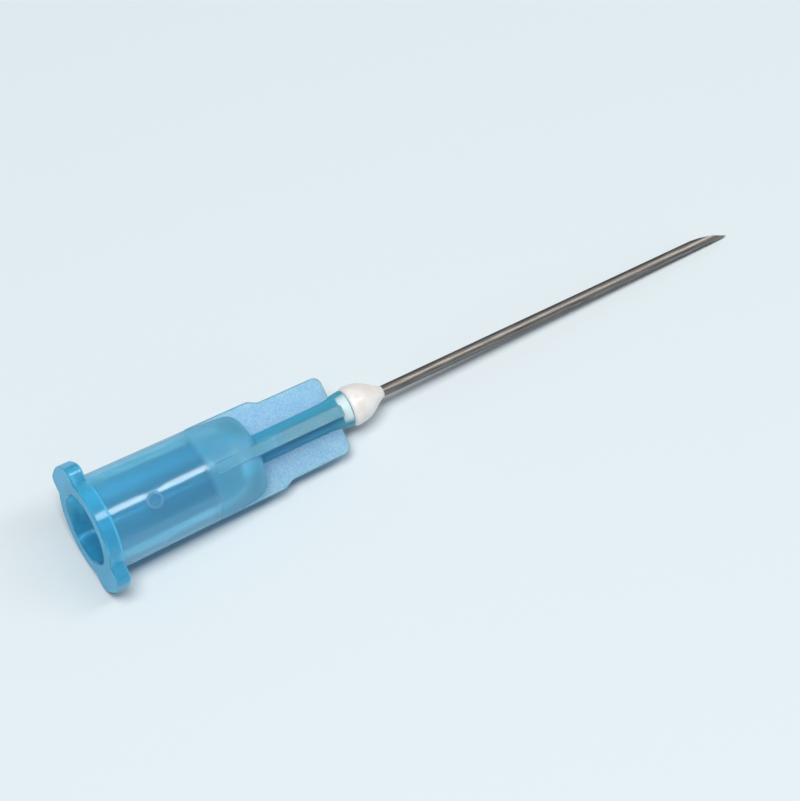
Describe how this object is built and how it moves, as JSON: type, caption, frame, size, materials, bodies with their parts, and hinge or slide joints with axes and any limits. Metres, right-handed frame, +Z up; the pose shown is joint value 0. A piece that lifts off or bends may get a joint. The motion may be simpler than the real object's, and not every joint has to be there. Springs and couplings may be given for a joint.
{
  "type": "hypodermic needle",
  "caption": "Short steel cannula with a ground lancet point, bonded with a white adhesive bead into a translucent blue finned hub with a tapered slip or lock socket.",
  "frame": {"origin": "on the table, under the middle of the part's box, with the needle lying as it comes to rest", "axes": "+X from the hub's open end toward the point, along the table; +Z up; the cannula slopes down to the table by about 4 degrees"},
  "size_m": [0.042, 0.0078, 0.0065],
  "materials": {
    "hub_plastic": "translucent blue polypropylene, glossy on the barrel and frosted on the fins",
    "cannula_steel": "drawn stainless steel, ground bright at the point",
    "adhesive_white": "cured white adhesive, smooth and glossy"
  },
  "bodies": {
    "root": {"hub": "hub_plastic", "cannula": "cannula_steel", "adhesive": "adhesive_white"}
  },
  "joints": []
}
